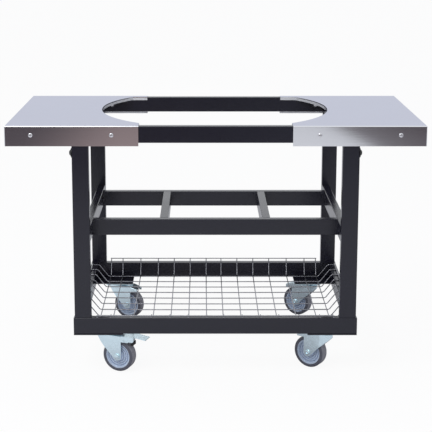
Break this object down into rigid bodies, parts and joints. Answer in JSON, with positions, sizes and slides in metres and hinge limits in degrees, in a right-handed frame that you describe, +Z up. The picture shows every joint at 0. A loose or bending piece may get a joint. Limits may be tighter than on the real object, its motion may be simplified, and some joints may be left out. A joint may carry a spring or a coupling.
{
  "type": "kamado grill table",
  "caption": "Rolling steel-tube table with two stainless side tops, a round cut-out and open middle shelf for a kamado grill, a lift-out wire basket below and swivel casters.",
  "frame": {"origin": "on the floor under the middle of the table", "axes": "+X to the right along the long side, +Y to the back, +Z up"},
  "size_m": [1.27, 0.6136, 0.7876],
  "materials": {
    "brushed_stainless": "brushed stainless sheet",
    "black_powder_coat": "semi-gloss black powder coat",
    "bright_steel_screws": "bright zinc plate",
    "zinc_plate": "bright blue zinc plate on pressed steel",
    "bright_wire": "bright plated welded wire",
    "grey_wheel_plastic": "moulded blue-grey plastic",
    "grey_rubber": "grey non-marking rubber",
    "black_rubber": "black moulded rubber",
    "black_plastic": "moulded black plastic"
  },
  "bodies": {
    "table": {"left_shelf_top": "brushed_stainless", "right_shelf_top": "brushed_stainless", "top_front_rail": "black_powder_coat", "top_back_rail": "black_powder_coat", "top_left_side_rail": "black_powder_coat", "top_right_side_rail": "black_powder_coat", "front_left_post": "black_powder_coat", "front_right_post": "black_powder_coat", "back_left_post": "black_powder_coat", "back_right_post": "black_powder_coat", "mid_left_side_rail": "black_powder_coat", "mid_right_side_rail": "black_powder_coat", "mid_front_rail": "black_powder_coat", "mid_back_rail": "black_powder_coat", "mid_left_cross_bar": "black_powder_coat", "mid_right_cross_bar": "black_powder_coat", "base_front_rail": "black_powder_coat", "base_back_rail": "black_powder_coat", "base_left_side_rail": "black_powder_coat", "base_right_side_rail": "black_powder_coat", "top_rail_end_plugs": "black_plastic", "shelf_screws": "bright_steel_screws", "corner_brackets": "black_powder_coat", "bracket_bolts": "bright_steel_screws", "post_sleeves": "black_powder_coat", "post_bolts": "black_plastic", "ball_races": "zinc_plate", "caster_bolts": "zinc_plate", "front_left_corner_plate": "black_powder_coat", "front_right_corner_plate": "black_powder_coat", "back_left_corner_plate": "black_powder_coat", "back_right_corner_plate": "black_powder_coat", "front_left_caster_plate": "zinc_plate", "front_right_caster_plate": "zinc_plate", "back_left_caster_plate": "zinc_plate", "back_right_caster_plate": "zinc_plate"},
    "basket": {"wire_basket": "bright_wire"},
    "front_left_fork": {"front_left_caster_fork": "zinc_plate", "front_left_axle_bolt": "zinc_plate"},
    "front_left_wheel": {"front_left_wheel_core": "grey_wheel_plastic", "front_left_tyre": "grey_rubber"},
    "front_left_pedal": {"front_left_brake_pedal": "zinc_plate", "front_left_brake_shoe": "black_rubber"},
    "front_right_fork": {"front_right_caster_fork": "zinc_plate", "front_right_axle_bolt": "zinc_plate"},
    "front_right_wheel": {"front_right_wheel_core": "grey_wheel_plastic", "front_right_tyre": "grey_rubber"},
    "back_left_fork": {"back_left_caster_fork": "zinc_plate", "back_left_axle_bolt": "zinc_plate"},
    "back_left_wheel": {"back_left_wheel_core": "grey_wheel_plastic", "back_left_tyre": "grey_rubber"},
    "back_right_fork": {"back_right_caster_fork": "zinc_plate", "back_right_axle_bolt": "zinc_plate"},
    "back_right_wheel": {"back_right_wheel_core": "grey_wheel_plastic", "back_right_tyre": "grey_rubber"}
  },
  "joints": [
    {"name": "basket_lift", "type": "slide", "parent": "table", "child": "basket", "axis": [0, 0, 1], "range_m": [0, 0.15]},
    {"name": "front_left_swivel", "type": "hinge", "parent": "table", "child": "front_left_fork", "pos_m": [-0.33325, -0.2445, 0.1185], "axis": [0, 0, 1], "continuous": true},
    {"name": "front_left_wheel_spin", "type": "hinge", "parent": "front_left_fork", "child": "front_left_wheel", "pos_m": [-0.29964, -0.2574, 0.0508], "axis": [0.3584, 0.9336, 0], "continuous": true},
    {"name": "front_left_brake_press", "type": "hinge", "parent": "front_left_fork", "child": "front_left_pedal", "pos_m": [-0.27724, -0.266, 0.1065], "axis": [0.3584, 0.9336, 0], "range_deg": [0, 12]},
    {"name": "front_right_swivel", "type": "hinge", "parent": "table", "child": "front_right_fork", "pos_m": [0.33325, -0.2445, 0.1185], "axis": [0, 0, 1], "continuous": true},
    {"name": "front_right_wheel_spin", "type": "hinge", "parent": "front_right_fork", "child": "front_right_wheel", "pos_m": [0.3034, -0.22437, 0.0508], "axis": [-0.5592, -0.829, 0], "continuous": true},
    {"name": "back_left_swivel", "type": "hinge", "parent": "table", "child": "back_left_fork", "pos_m": [-0.33325, 0.2445, 0.1185], "axis": [0, 0, 1], "continuous": true},
    {"name": "back_left_wheel_spin", "type": "hinge", "parent": "back_left_fork", "child": "back_left_wheel", "pos_m": [-0.29987, 0.23101, 0.0508], "axis": [0.3746, 0.9272, 0], "continuous": true},
    {"name": "back_right_swivel", "type": "hinge", "parent": "table", "child": "back_right_fork", "pos_m": [0.33325, 0.2445, 0.1185], "axis": [0, 0, 1], "continuous": true},
    {"name": "back_right_wheel_spin", "type": "hinge", "parent": "back_right_fork", "child": "back_right_wheel", "pos_m": [0.30376, 0.26515, 0.0508], "axis": [-0.5736, -0.8192, 0], "continuous": true}
  ]
}
